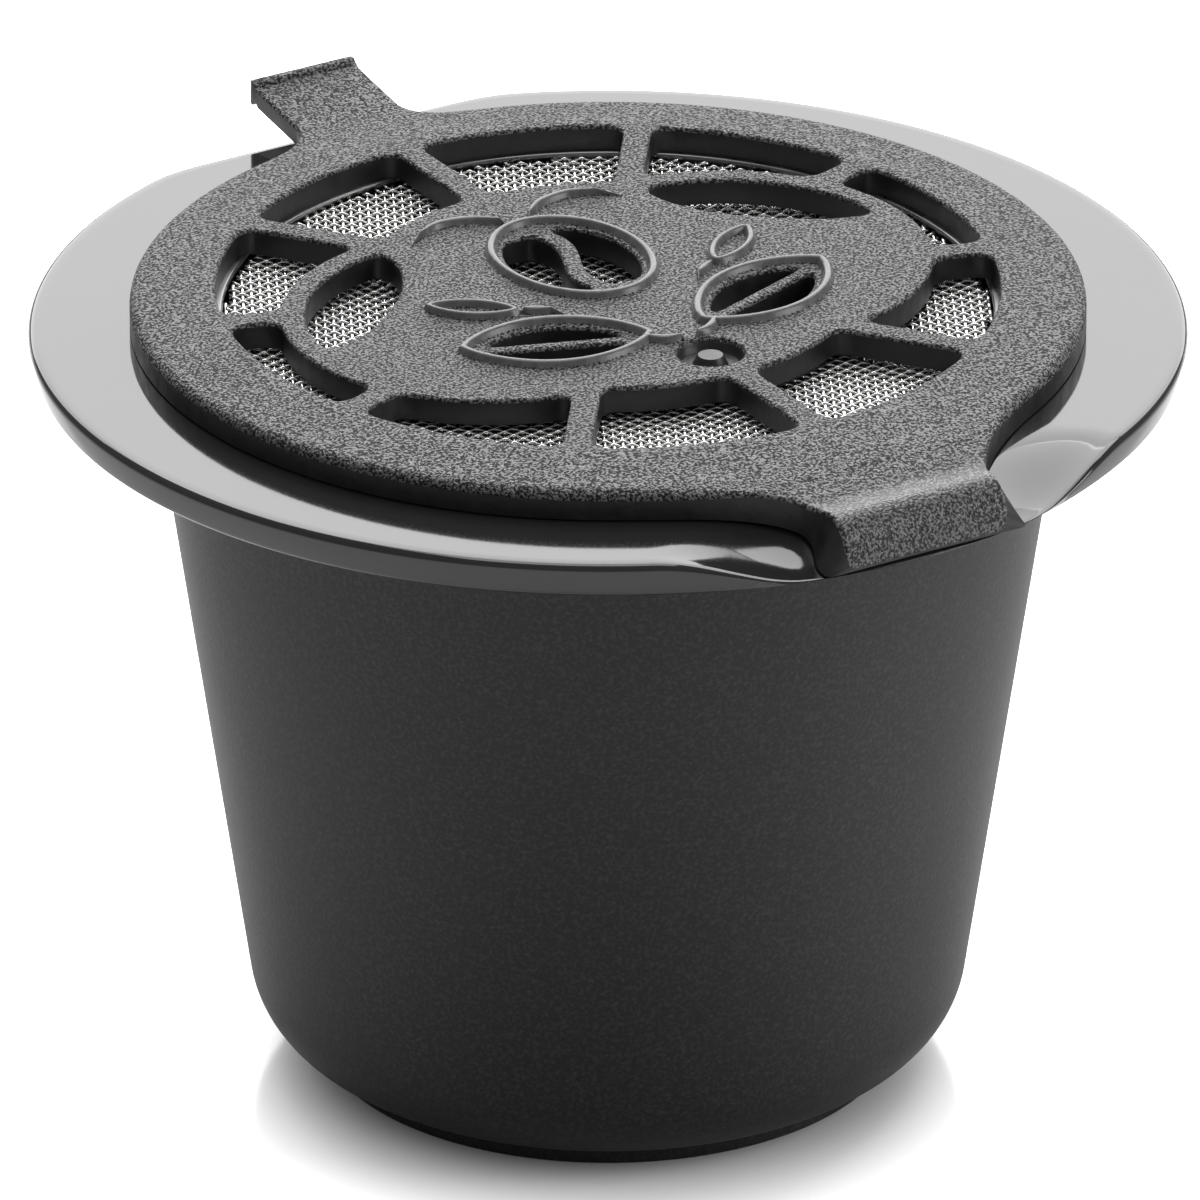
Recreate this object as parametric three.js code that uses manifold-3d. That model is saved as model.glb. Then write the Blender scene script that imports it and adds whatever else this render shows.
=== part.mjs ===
// Reusable coffee capsule: a tapered cup with a wide flat rim and a perforated lid on a hinge.
// Millimetres. The origin is the centre of the base and +Z is up.
// The hinge lies toward -Y and the thumb tab toward +Y.
import * as THREE from "three";
import { mergeVertices } from "three/addons/utils/BufferGeometryUtils.js";
import Module from "manifold-3d";

const wasm = await Module();
wasm.setup();

const DEGREE = Math.PI / 180;

// Cup
const capsuleHeight = 25.45;
const rimRadius = 18.5;
const rimThickness = 1.2;
const rimEdgeRound = 0.25;
const rimFlatDepth = 1.0;
const bodyTopRadius = 14.68;
const bodyTaper = 8.3 * DEGREE;
const wallThickness = 1.0;
const underRimFillet = 0.4;
const cornerRadius = 3.0;
const cornerLift = 0.48;
const footStep = 0.68;
const boreWall = 1.08;
const roundSegments = 56;
const ringSegments = 40;

// Water holes in the floor, in rings around a solid centre
const waterHoleRadius = 0.7;
const waterHoleInset = 3.1;
const waterRingPitch = 2.8;
const waterHoleCounts = [12, 6];

// Hinge recess in the rim
const recessDepth = 0.75;
const recessBottomHalf = 4.15;
const recessTopHalf = 6.0;
const recessLength = 3.7;

// Lid plate and plug skirt
const lidOverlap = 1.65;
const seatGap = 0.05;
const lidEdgeThickness = 0.95;
const lidEdgeRound = 0.3;
const lidCrown = 0.3;
const crownInset = 2.25;
const crownBlend = 0.8;
const plateThickness = 0.87;
const plugClearance = 0.3;
const skirtThickness = 0.35;
const skirtDepth = 1.6;

// Windows around the lid
const windowCount = 10;
const windowMargin = 0.45;
const windowLength = 4.5;
const spokeWidth = 0.9;
const windowCornerCut = 0.6;
const panelCircleRadius = 6.7;
const slotWidth = 1.44;
const openingCutMargin = 0.5;

// Crescent openings
const crescentMargin = 0.8;
const crescentInnerEdge = [
  [5.49, 0.3],
  [4.02, 0.85],
  [2.56, 1.98],
  [1.59, 2.92],
  [0.8, 4.22],
  [0.51, 5.32],
];
const crescentStart = 4 * DEGREE;
const crescentEnd = 83 * DEGREE;

// Split bean opening in the middle
const beanCentre = [0, 2.2];
const beanHalfWidth = 2.0;
const beanHalfLength = 2.75;
const beanSplitHalfWidth = 0.33;
const beanSplitSwing = 0.4;
const beanEndShare = 0.84;

// Leaf openings and raised leaves
const leafCentre = [3.85, -3.15];
const leafAngle = 20 * DEGREE;
const leafHalfLength = 2.45;
const leafHalfWidth = 1.3;
const leafRibHalfWidth = 0.22;
const smallLeafCentre = [4.85, 0.35];
const smallLeafAngle = 38 * DEGREE;
const smallLeafHalfLength = 1.55;
const smallLeafHalfWidth = 0.62;

// Raised lines on the lid
const reliefHeight = 0.18;
const reliefWidth = 0.3;
const reliefOffset = 0.38;
const reliefRoot = 0.1;
const stems = [
  [[1.35, -4.3], [0.85, -4.75], [0.3, -4.95]],
  [[0.55, 5.75], [1.3, 6.35], [2.4, 6.55], [3.3, 6.15]],
  [[2.75, -1.05], [3.15, -0.75], [3.5, -0.6]],
];

// Gate dimple
const dimpleInset = 1.8;
const dimpleRadius = 1.08;
const dimpleDepth = 0.3;
const nubRadius = 0.5;
const nubDrop = 0.1;

// Hinge strip and its axis
const stripHalfWidth = 3.25;
const stripFootHalfWidth = 3.95;
const stripEndInset = 0.12;
const stripShoulder = 1.1;
const stripFlareHalf = 8.0;
const stripClearance = 0.05;
const stripFootGap = 0.3;

// Thumb tab
const tabHalfWidth = 1.92;
const tabFlareHalf = 3.6;
const tabRootInset = 0.25;
const tabRootOverlap = 1.0;
const tabBendReach = 1.25;
const tabOverhang = 0.35;
const tabThickness = 0.62;
const tabRise = 0.62;
const tabBeadDepth = 0.5;
const tabBeadHeight = 1.05;

// Steel filters
const filterFit = 0.05;
const filterRimThickness = 0.28;
const filterRimShow = 0.63;
const sheetThickness = 0.13;
const ridgeHeight = 0.06;
const ridgeWidth = 0.4;
const gapPitch = 2.4;
const gapSize = 0.9;
const filterTurn = -28.8 * DEGREE;
const filterInset = 0.3;
const baseFilterInset = 0.32;
const baseRimWidth = 0.9;

const rimBottom = capsuleHeight - rimThickness;
const floorTop = cornerLift + wallThickness;
const wallSlope = Math.tan(bodyTaper);
const cornerCentreZ = cornerLift + cornerRadius;
const cornerCentreRadius = bodyTopRadius - wallSlope * (rimBottom - cornerCentreZ)
  - cornerRadius / Math.cos(bodyTaper);
const footRadius = cornerCentreRadius + footStep;
const boreRadius = bodyTopRadius - boreWall;
const lidRadius = boreRadius + lidOverlap;
const crownRadius = lidRadius - crownInset;
const baseFilterRadius = cornerCentreRadius - baseFilterInset;
const ledgeZ = capsuleHeight - recessDepth;
const seatZ = capsuleHeight + seatGap;
const lidEdgeTop = seatZ + lidEdgeThickness;
const lidTop = lidEdgeTop + lidCrown;
const plateBottom = lidTop - plateThickness;
const plugOuterRadius = boreRadius - plugClearance;
const plugInnerRadius = plugOuterRadius - skirtThickness;
const filterRimBottom = plateBottom - filterRimThickness;
const windowOuterRadius = plugInnerRadius - windowMargin;
const windowInnerRadius = windowOuterRadius - windowLength;
const panelCircleOffset = windowOuterRadius - slotWidth - panelCircleRadius;
const dimpleY = dimpleInset - windowInnerRadius;

// A closed mesh as a solid, without its zero-width triangles at an axis.
function solidFrom(geometry) {
  const bare = geometry.clone();
  bare.deleteAttribute("normal");
  bare.deleteAttribute("uv");
  const merged = mergeVertices(bare, 1e-4);
  const index = merged.index.array;
  const kept = [];
  for (let i = 0; i < index.length; i += 3) {
    const [a, b, c] = [index[i], index[i + 1], index[i + 2]];
    if (a !== b && b !== c && c !== a) kept.push(a, b, c);
  }
  return new wasm.Manifold(new wasm.Mesh({
    numProp: 3,
    vertProperties: merged.attributes.position.array,
    triVerts: new Uint32Array(kept),
  }));
}

function geometryFrom(solid) {
  const mesh = solid.getMesh();
  const geometry = new THREE.BufferGeometry();
  geometry.setAttribute("position", new THREE.BufferAttribute(mesh.vertProperties, 3));
  geometry.setIndex(new THREE.BufferAttribute(mesh.triVerts, 1));
  geometry.computeVertexNormals();
  return geometry;
}

// A profile of [radius, height] turned about Z.
function turned(profile, segments = roundSegments) {
  const points = profile.map(([r, z]) => new THREE.Vector2(r, z));
  return solidFrom(new THREE.LatheGeometry(points, segments).rotateX(Math.PI / 2));
}

// An outline of [x, y] raised from one height to another, with any holes.
function raised(outline, bottom, top, holes = []) {
  const shape = new THREE.Shape(outline.map(([x, y]) => new THREE.Vector2(x, y)));
  for (const hole of holes) {
    shape.holes.push(new THREE.Path(hole.map(([x, y]) => new THREE.Vector2(x, y))));
  }
  const geometry = new THREE.ExtrudeGeometry(shape, { depth: top - bottom, bevelEnabled: false });
  return solidFrom(geometry.translate(0, 0, bottom));
}

// A side profile of [y, z] carried along X, centred on the YZ plane.
function carriedAlongX(profile, halfLength) {
  const shape = new THREE.Shape(profile.map(([y, z]) => new THREE.Vector2(y, z)));
  const depth = 2 * halfLength;
  const geometry = new THREE.ExtrudeGeometry(shape, { depth, bevelEnabled: false });
  geometry.translate(0, 0, -halfLength);
  const basis = new THREE.Matrix4().makeBasis(
    new THREE.Vector3(0, 1, 0),
    new THREE.Vector3(0, 0, 1),
    new THREE.Vector3(1, 0, 0),
  );
  return solidFrom(geometry.applyMatrix4(basis));
}

// An end profile of [x, z] carried along Y between two places.
function carriedAlongY(profile, startY, endY) {
  const shape = new THREE.Shape(profile.map(([x, z]) => new THREE.Vector2(x, z)));
  const geometry = new THREE.ExtrudeGeometry(shape, { depth: endY - startY, bevelEnabled: false });
  geometry.rotateX(Math.PI / 2).translate(0, endY, 0);
  return solidFrom(geometry);
}

function arc(centre, radius, start, end, steps) {
  const points = [];
  for (let i = 0; i <= steps; i += 1) {
    const angle = start + ((end - start) * i) / steps;
    points.push([centre[0] + radius * Math.cos(angle), centre[1] + radius * Math.sin(angle)]);
  }
  return points;
}

function smooth(points, steps) {
  const curve = new THREE.CatmullRomCurve3(points.map(([x, y]) => new THREE.Vector3(x, y, 0)));
  return curve.getPoints(steps).map((p) => [p.x, p.y]);
}

// The outline with the numbered corners cut back and rounded.
function roundedCorners(outline, corners, cut) {
  const result = [];
  outline.forEach((point, i) => {
    if (!corners.includes(i)) {
      result.push(point);
      return;
    }
    const corner = new THREE.Vector2(...point);
    const before = new THREE.Vector2(...outline.at(i - 1));
    const after = new THREE.Vector2(...outline[(i + 1) % outline.length]);
    const towards = (end) => {
      const way = end.clone().sub(corner);
      return corner.clone().addScaledVector(way.normalize(), Math.min(cut, 0.9 * end.distanceTo(corner)));
    };
    const bend = new THREE.QuadraticBezierCurve(towards(before), corner, towards(after));
    for (const p of bend.getPoints(3)) result.push([p.x, p.y]);
  });
  return result;
}

const mirrored = (outline) => outline.map(([x, y]) => [-x, y]).reverse();

const placed = (outline, centre, angle) => outline.map(([u, v]) => [
  centre[0] + u * Math.cos(angle) - v * Math.sin(angle),
  centre[1] + u * Math.sin(angle) + v * Math.cos(angle),
]);

// Cup
function cupProfile() {
  const outerAt = (z) => bodyTopRadius - wallSlope * (rimBottom - z);
  const centre = [cornerCentreRadius, cornerCentreZ];
  const footAngle = -Math.acos(footStep / cornerRadius);
  const innerRadius = cornerRadius - wallThickness;
  const innerAt = (z) => outerAt(z) - wallThickness / Math.cos(bodyTaper);
  const boreFoot = rimBottom - (innerAt(rimBottom) - boreRadius) / wallSlope;
  const rimCorner = rimRadius - rimEdgeRound;
  return [
    [0, 0],
    [footRadius, 0],
    ...arc(centre, cornerRadius, footAngle, -bodyTaper, 5),
    [outerAt(rimBottom - underRimFillet), rimBottom - underRimFillet],
    [bodyTopRadius + 0.3 * underRimFillet, rimBottom - 0.3 * underRimFillet],
    [bodyTopRadius + underRimFillet, rimBottom],
    ...arc([rimCorner, rimBottom + rimEdgeRound], rimEdgeRound, -90 * DEGREE, 0, 2),
    ...arc([rimCorner, capsuleHeight - rimEdgeRound], rimEdgeRound, 0, 90 * DEGREE, 2),
    [boreRadius, capsuleHeight],
    [boreRadius, boreFoot],
    ...arc(centre, innerRadius, -bodyTaper, -90 * DEGREE, 3),
    [0, floorTop],
  ];
}

function hingeRecess() {
  const above = capsuleHeight + recessDepth;
  const profile = [
    [-recessBottomHalf, ledgeZ],
    [recessBottomHalf, ledgeZ],
    [recessTopHalf, capsuleHeight],
    [recessTopHalf, above],
    [-recessTopHalf, above],
    [-recessTopHalf, capsuleHeight],
  ];
  return carriedAlongY(profile, -rimRadius - recessDepth, -rimRadius + recessLength);
}

function waterHoles() {
  const holes = [];
  waterHoleCounts.forEach((count, row) => {
    const radius = footRadius - waterHoleInset - row * waterRingPitch;
    for (let i = 0; i < count; i += 1) {
      const angle = ((i + 0.5) * 2 * Math.PI) / count;
      const hole = new THREE.CylinderGeometry(waterHoleRadius, waterHoleRadius, 3 * floorTop, 10);
      hole.rotateX(Math.PI / 2);
      hole.translate(radius * Math.cos(angle), radius * Math.sin(angle), 0.5 * floorTop);
      holes.push(solidFrom(hole));
    }
  });
  return holes;
}

function capsuleBody() {
  const flatY = rimRadius - rimFlatDepth;
  const flatCut = new THREE.BoxGeometry(2 * rimRadius, rimRadius, 4 * rimThickness);
  flatCut.translate(0, flatY + rimRadius / 2, capsuleHeight);
  let solid = turned(cupProfile()).subtract(solidFrom(flatCut)).subtract(hingeRecess());
  for (const hole of waterHoles()) solid = solid.subtract(hole);
  return solid;
}

// Lid
function lidProfile() {
  const edgeCorner = lidRadius - lidEdgeRound;
  return [
    [0, plateBottom],
    [plugInnerRadius, plateBottom],
    [plugInnerRadius, seatZ - skirtDepth],
    [plugOuterRadius, seatZ - skirtDepth],
    [plugOuterRadius, seatZ],
    [lidRadius, seatZ],
    ...arc([edgeCorner, lidEdgeTop - lidEdgeRound], lidEdgeRound, 0, 90 * DEGREE, 2),
    [crownRadius, lidTop - 0.15 * lidCrown],
    [crownRadius - crownBlend, lidTop],
    [0, lidTop],
  ];
}

// How far the solid middle panel reaches along a ray from the centre.
function panelReach(angle) {
  const along = panelCircleOffset * Math.abs(Math.cos(angle));
  const square = panelCircleRadius ** 2 - panelCircleOffset ** 2 + along ** 2;
  return Math.max(windowInnerRadius, along + Math.sqrt(square));
}

function windowOutline(middle) {
  const half = Math.PI / windowCount;
  const sideAt = (radius) => half - Math.asin(spokeWidth / 2 / radius);
  const outerHalf = sideAt(windowOuterRadius);
  const outer = arc([0, 0], windowOuterRadius, middle - outerHalf, middle + outerHalf, 6);
  const inner = [];
  const steps = 6;
  for (let i = 0; i <= steps; i += 1) {
    const share = 1 - (2 * i) / steps;
    const side = sideAt(panelReach(middle + share * half));
    const angle = middle + share * side;
    const radius = panelReach(angle);
    inner.push([radius * Math.cos(angle), radius * Math.sin(angle)]);
  }
  const first = outer.length;
  const corners = [0, first - 1, first, first + steps];
  return roundedCorners([...outer, ...inner], corners, windowCornerCut);
}

function crescentOutline() {
  const centre = [panelCircleOffset, 0];
  const outerRadius = panelCircleRadius - crescentMargin;
  const outer = arc(centre, outerRadius, crescentEnd, crescentStart, 10);
  const inner = smooth(crescentInnerEdge.map(([x, y]) => [centre[0] + x, y]), 12);
  const corners = [0, outer.length - 1];
  return roundedCorners([...outer, ...inner], corners, 0.4 * windowCornerCut).reverse();
}

function beanHalfOutline() {
  const steps = 8;
  const split = [];
  const shell = [];
  for (let i = 0; i <= steps; i += 1) {
    const share = beanEndShare * ((2 * i) / steps - 1);
    const y = beanCentre[1] + beanHalfLength * share;
    const swing = beanSplitSwing * Math.sin(Math.PI * share);
    split.push([beanCentre[0] + swing + beanSplitHalfWidth, y]);
    shell.unshift([beanCentre[0] + beanHalfWidth * Math.sqrt(1 - share ** 2), y]);
  }
  return roundedCorners([...split, ...shell].reverse(), [0, steps, steps + 1, 2 * steps + 1], 0.25);
}

// The other half of the bean is this one turned half round its centre.
const turnedHalf = (outline) => outline.map(([x, y]) => [2 * beanCentre[0] - x, 2 * beanCentre[1] - y]);

function leafEdge(halfLength, halfWidth, steps, reach = 1) {
  const points = [];
  for (let i = 0; i <= steps; i += 1) {
    const share = reach * ((2 * i) / steps - 1);
    points.push([halfLength * share, halfWidth * (1 - share ** 2) ** 0.8]);
  }
  return points;
}

function leafHalfOutline(side) {
  const reach = 0.86;
  const edge = leafEdge(leafHalfLength, leafHalfWidth, 8, reach);
  const ends = [[leafHalfLength * reach, leafRibHalfWidth], [-leafHalfLength * reach, leafRibHalfWidth]];
  const outline = [...edge, ...ends].map(([u, v]) => [u, side * v]);
  return side > 0 ? outline.reverse() : outline;
}

function leafOutline(halfLength, halfWidth) {
  const top = leafEdge(halfLength, halfWidth, 10);
  const bottom = top.slice(1, -1).map(([u, v]) => [u, -v]);
  return [...top.reverse(), ...bottom];
}

function ellipse(centre, halfWidth, halfLength, steps) {
  return arc([0, 0], 1, 0, 2 * Math.PI, steps).slice(0, -1).map(([x, y]) => [
    centre[0] + halfWidth * x,
    centre[1] + halfLength * y,
  ]);
}

// A raised line along a curve, tapering at both ends.
function stroke(points, width) {
  const steps = 10;
  const path = smooth(points, steps);
  const left = [];
  const right = [];
  path.forEach(([x, y], i) => {
    const before = path[Math.max(i - 1, 0)];
    const after = path[Math.min(i + 1, steps)];
    const length = Math.hypot(after[0] - before[0], after[1] - before[1]);
    const normal = [(before[1] - after[1]) / length, (after[0] - before[0]) / length];
    const half = (width / 2) * (0.35 + 0.65 * Math.sin((Math.PI * i) / steps));
    left.push([x + normal[0] * half, y + normal[1] * half]);
    right.unshift([x - normal[0] * half, y - normal[1] * half]);
  });
  return [...right, ...left].reverse();
}

function reliefSolids() {
  const bottom = lidTop - reliefRoot;
  const top = lidTop + reliefHeight;
  const inner = reliefOffset - reliefWidth / 2;
  const outer = reliefOffset + reliefWidth / 2;
  const solids = [];
  const beanRing = (grow) => ellipse(beanCentre, beanHalfWidth + grow, beanHalfLength + grow, 32);
  solids.push(raised(beanRing(outer), bottom, top, [beanRing(inner)]));
  const leafRing = (grow) => leafOutline(leafHalfLength + 1.5 * grow, leafHalfWidth + grow);
  const smallRing = (grow) => leafOutline(smallLeafHalfLength + 1.5 * grow, smallLeafHalfWidth + grow);
  for (const side of [1, -1]) {
    const flip = (outline) => (side > 0 ? outline : mirrored(outline));
    const bigOuter = flip(placed(leafRing(outer), leafCentre, leafAngle));
    const bigInner = flip(placed(leafRing(inner), leafCentre, leafAngle));
    solids.push(raised(bigOuter, bottom, top, [bigInner]));
    const smallOuter = flip(placed(smallRing(0), smallLeafCentre, smallLeafAngle));
    const smallInner = flip(placed(smallRing(-reliefWidth), smallLeafCentre, smallLeafAngle));
    solids.push(raised(smallOuter, bottom, top, [smallInner]));
    for (const stem of stems) solids.push(raised(flip(stroke(stem, reliefWidth)), bottom, top));
  }
  return solids;
}

function lidOpenings() {
  const outlines = [];
  for (let i = 0; i < windowCount; i += 1) {
    outlines.push(windowOutline((i * 2 * Math.PI) / windowCount));
  }
  const crescent = crescentOutline();
  outlines.push(crescent, mirrored(crescent));
  const bean = beanHalfOutline();
  outlines.push(bean, turnedHalf(bean));
  for (const side of [1, -1]) {
    const half = placed(leafHalfOutline(side), leafCentre, leafAngle);
    outlines.push(half, mirrored(half));
  }
  const bottom = plateBottom - openingCutMargin;
  const top = lidTop + openingCutMargin;
  return outlines.map((outline) => raised(outline, bottom, top));
}

function gateDimple() {
  const circle = (radius) => arc([0, dimpleY], radius, 0, 2 * Math.PI, 20).slice(0, -1);
  const well = raised(circle(dimpleRadius), lidTop - dimpleDepth, lidTop + openingCutMargin);
  const nub = raised(circle(nubRadius), lidTop - dimpleDepth - reliefRoot, lidTop - nubDrop);
  return { well, nub };
}

// Outline of a tongue that flares into the lid's edge, along +Y.
function tonguePlan(halfWidth, flareHalf, endY) {
  const rootY = Math.sqrt(lidRadius ** 2 - flareHalf ** 2) - lidEdgeRound;
  const flare = new THREE.QuadraticBezierCurve(
    new THREE.Vector2(flareHalf, rootY),
    new THREE.Vector2(halfWidth, lidRadius - lidEdgeRound),
    new THREE.Vector2(halfWidth, lidRadius + 1.2),
  );
  const right = flare.getPoints(6).map((p) => [p.x, p.y]);
  const half = [[flareHalf, rootY - lidEdgeRound], ...right, [halfWidth, endY]];
  return [...half, ...half.map(([x, y]) => [-x, y]).reverse()];
}

function hingeStrip() {
  const endY = -rimRadius + stripEndInset;
  const bottom = ledgeZ + stripClearance;
  const innerY = -plugOuterRadius - stripFootGap;
  const shoulder = arc([endY + stripShoulder, lidEdgeTop - stripShoulder], stripShoulder,
    90 * DEGREE, 180 * DEGREE, 6);
  const side = [[innerY, lidEdgeTop], ...shoulder, [endY, bottom], [innerY, bottom]];
  const plan = tonguePlan(stripHalfWidth, stripFlareHalf, rimRadius).map(([x, y]) => [-x, -y]);
  const upper = raised(plan, seatZ, lidTop).intersect(carriedAlongX(side, rimRadius));
  const footStartY = -rimRadius + recessLength - stripFootGap;
  const footEnd = [
    [-stripFootHalfWidth, bottom],
    [stripFootHalfWidth, bottom],
    [stripHalfWidth, seatZ + recessDepth / 2],
    [-stripHalfWidth, seatZ + recessDepth / 2],
  ];
  const foot = carriedAlongY(footEnd, -rimRadius, footStartY).intersect(carriedAlongX(side, rimRadius));
  return upper.add(foot);
}

function thumbTab() {
  const endY = rimRadius + tabOverhang;
  const endTop = lidEdgeTop + tabRise;
  const rootY = lidRadius - tabRootInset;
  const bendY = lidRadius + tabBendReach;
  const side = [
    [rootY - tabRootOverlap, lidEdgeTop - tabThickness],
    [bendY - tabRootInset, lidEdgeTop - tabThickness + 0.05],
    [endY, endTop - tabThickness],
    [endY, endTop],
    [bendY, lidEdgeTop + 0.12],
    [rootY, lidEdgeTop],
    [rootY - tabRootOverlap, lidEdgeTop],
  ];
  const plan = tonguePlan(tabHalfWidth, tabFlareHalf, rimRadius + 2 * tabOverhang);
  const tongue = carriedAlongX(side, rimRadius).intersect(raised(plan, seatZ, endTop + 1));
  const beadZ = endTop - tabThickness / 2;
  const radius = tabBeadDepth / 2;
  const rise = tabBeadHeight / 2 - radius;
  const beadSide = [
    ...arc([endY + radius, beadZ + rise], radius, 0, Math.PI, 6),
    ...arc([endY + radius, beadZ - rise], radius, Math.PI, 2 * Math.PI, 6),
  ];
  return tongue.add(carriedAlongX(beadSide, tabHalfWidth));
}

function lid() {
  const { well, nub } = gateDimple();
  let solid = turned(lidProfile()).add(hingeStrip()).add(thumbTab());
  for (const relief of reliefSolids()) solid = solid.add(relief);
  for (const opening of lidOpenings()) solid = solid.subtract(opening);
  return solid.subtract(well).add(nub);
}

// Steel filters
function ring(innerRadius, outerRadius, bottom, top) {
  return turned([
    [innerRadius, bottom],
    [outerRadius, bottom],
    [outerRadius, top],
    [innerRadius, top],
    [innerRadius, bottom],
  ], ringSegments);
}

// Woven sheet: a thin disc with square gaps, ridges one way above and the other way below.
function wovenSheet(radius, bottom) {
  const sheetBottom = bottom + ridgeHeight;
  const sheetTop = sheetBottom + sheetThickness;
  const count = Math.floor(radius / gapPitch);
  const outline = arc([0, 0], radius, 0, 2 * Math.PI, 48).slice(0, -1);
  let sheet = raised(outline, sheetBottom, sheetTop);
  for (let i = -count; i <= count; i += 1) {
    for (let j = -count; j <= count; j += 1) {
      const [x, y] = [i * gapPitch, j * gapPitch];
      if (Math.hypot(x, y) > radius - gapSize - filterInset) continue;
      const gap = new THREE.BoxGeometry(gapSize, gapSize, 3 * sheetThickness);
      sheet = sheet.subtract(solidFrom(gap.translate(x, y, sheetBottom)));
    }
  }
  const overlap = sheetThickness / 4;
  const ridgeReach = radius - filterInset;
  for (let i = -count; i < count; i += 1) {
    const offset = (i + 0.5) * gapPitch;
    const length = 2 * Math.sqrt(ridgeReach ** 2 - offset ** 2);
    const above = new THREE.BoxGeometry(length, ridgeWidth, ridgeHeight + overlap);
    above.translate(0, offset, sheetTop + (ridgeHeight - overlap) / 2);
    const below = new THREE.BoxGeometry(ridgeWidth, length, ridgeHeight + overlap);
    below.translate(offset, 0, sheetBottom - (ridgeHeight - overlap) / 2);
    sheet = sheet.add(solidFrom(above)).add(solidFrom(below));
  }
  return sheet;
}

const black = { color: 0x1b1b1c, metalness: 0 };
const materials = {
  cup: new THREE.MeshStandardMaterial({ ...black, name: "black_plastic", roughness: 0.45 }),
  lid: new THREE.MeshStandardMaterial({ ...black, name: "grained_plastic", roughness: 0.6 }),
  steel: new THREE.MeshStandardMaterial({ color: 0xb9b9b6, name: "steel", roughness: 0.3, metalness: 1 }),
};

function addMesh(group, name, solid, material) {
  const mesh = new THREE.Mesh(geometryFrom(solid), material);
  mesh.name = name;
  group.add(mesh);
  return mesh;
}

const capsule = new THREE.Group();
const sheetStack = sheetThickness + 2 * ridgeHeight;
const lidFilterRadius = plugInnerRadius - filterFit;
addMesh(capsule, "capsule_body", capsuleBody(), materials.cup);
addMesh(capsule, "lid", lid(), materials.lid);
const lidRim = ring(windowOuterRadius - filterRimShow, lidFilterRadius, filterRimBottom, plateBottom);
addMesh(capsule, "lid_filter_rim", lidRim, materials.steel);
const lidSheet = wovenSheet(lidFilterRadius - filterInset, filterRimBottom - sheetStack);
const lidFilter = addMesh(capsule, "lid_filter_mesh", lidSheet, materials.steel);
lidFilter.rotation.z = filterTurn;
addMesh(capsule, "base_filter_mesh", wovenSheet(baseFilterRadius, floorTop), materials.steel);
const baseRimBottom = floorTop + sheetStack;
const baseRimTop = baseRimBottom + filterRimThickness;
const baseRim = ring(baseFilterRadius - baseRimWidth, baseFilterRadius, baseRimBottom, baseRimTop);
addMesh(capsule, "base_filter_rim", baseRim, materials.steel);

export default capsule;
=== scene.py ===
# Looks of a reusable coffee capsule: fine cup, grained lid, woven steel filters, light and camera.
# Lengths in the helpers are millimetres in the part's own frame, turned into metres when a mesh is made.
import math

import bpy
import numpy as np
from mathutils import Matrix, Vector
from mathutils.geometry import delaunay_2d_cdt
from mathutils.kdtree import KDTree


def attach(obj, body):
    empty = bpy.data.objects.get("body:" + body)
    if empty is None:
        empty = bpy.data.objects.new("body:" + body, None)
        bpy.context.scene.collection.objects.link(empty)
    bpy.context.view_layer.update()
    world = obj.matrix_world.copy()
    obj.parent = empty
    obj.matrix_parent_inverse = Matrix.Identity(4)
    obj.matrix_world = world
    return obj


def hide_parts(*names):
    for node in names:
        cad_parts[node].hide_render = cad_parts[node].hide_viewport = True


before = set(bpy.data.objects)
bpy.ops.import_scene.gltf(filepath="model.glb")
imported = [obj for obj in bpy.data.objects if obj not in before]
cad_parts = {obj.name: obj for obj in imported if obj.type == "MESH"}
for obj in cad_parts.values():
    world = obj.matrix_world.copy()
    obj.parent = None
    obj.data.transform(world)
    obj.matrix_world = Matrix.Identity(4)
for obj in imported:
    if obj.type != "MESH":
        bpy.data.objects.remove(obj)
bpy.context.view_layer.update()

MM = 0.001
DEGREE = math.pi / 180

# Cup
CAPSULE_HEIGHT = 25.45
RIM_RADIUS = 18.5
RIM_THICKNESS = 1.2
RIM_BOTTOM = CAPSULE_HEIGHT - RIM_THICKNESS
RIM_ROUND = 0.25
RIM_DRAFT = 0.2
RIM_FLAT_DEPTH = 1.0
RIM_FLAT_SOFTNESS = 0.35
RIM_BLEND_RADIUS = 16.0
RIM_TOP_ROWS = (18.0, 17.7, 17.4, 17.1, 16.8, 16.5, 16.2, 15.9, 15.6, 15.3, 15.0, 14.6, 14.2)
BODY_TOP_RADIUS = 14.68
BODY_TAPER = 8.3 * DEGREE
WALL = 1.0
UNDER_RIM_FILLET = 0.4
CORNER_RADIUS = 3.0
CORNER_LIFT = 0.48
FOOT_STEP = 0.68
FOOT_ROUND = 0.12
BORE_RADIUS = 13.6
BORE_ROUND = 0.15
WALL_LOW_ROW = 4.5
RECESS_DEPTH = 1.0
RECESS_BOTTOM_HALF = 4.1
RECESS_INNER_HALF = 7.2
RECESS_OUTER_HALF = 8.8
RECESS_START = 15.0
RECESS_WIDENS_FROM = 15.5
RECESS_FULL = 18.5
CUP_COLUMNS = 480
HOLE_RADIUS = 0.7
HOLE_ROWS = ((6.2, 12), (3.4, 6))
HOLE_CUT = (-1.0, 3.0)

# Lid
LID_RADIUS = 15.25
SEAT_Z = 25.5
LID_EDGE_TOP = 26.45
LID_TOP = 26.75
CROWN_RADIUS = 12.75
PLATE_BOTTOM = 25.88
PLUG_OUTER = 13.3
PLUG_INNER = 12.95
SKIRT_BOTTOM = 23.9
LID_EDGE_ROUND = 0.3
THIN_EDGE_ROUND = 0.12
OPENING_ROUND = 0.13
EDGE_STEPS = (0.08, 0.22, 0.45, 0.72, 1.0)
OUTLINE_STEP = 0.16

# Windows
WINDOW_COUNT = 10
WINDOW_INNER = 8.0
WINDOW_OUTER = 12.5
SPOKE_WIDTH = 0.9
WINDOW_CORNER = 0.65
PANEL_RADIUS = 6.7
PANEL_OFFSET = 4.36

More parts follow.
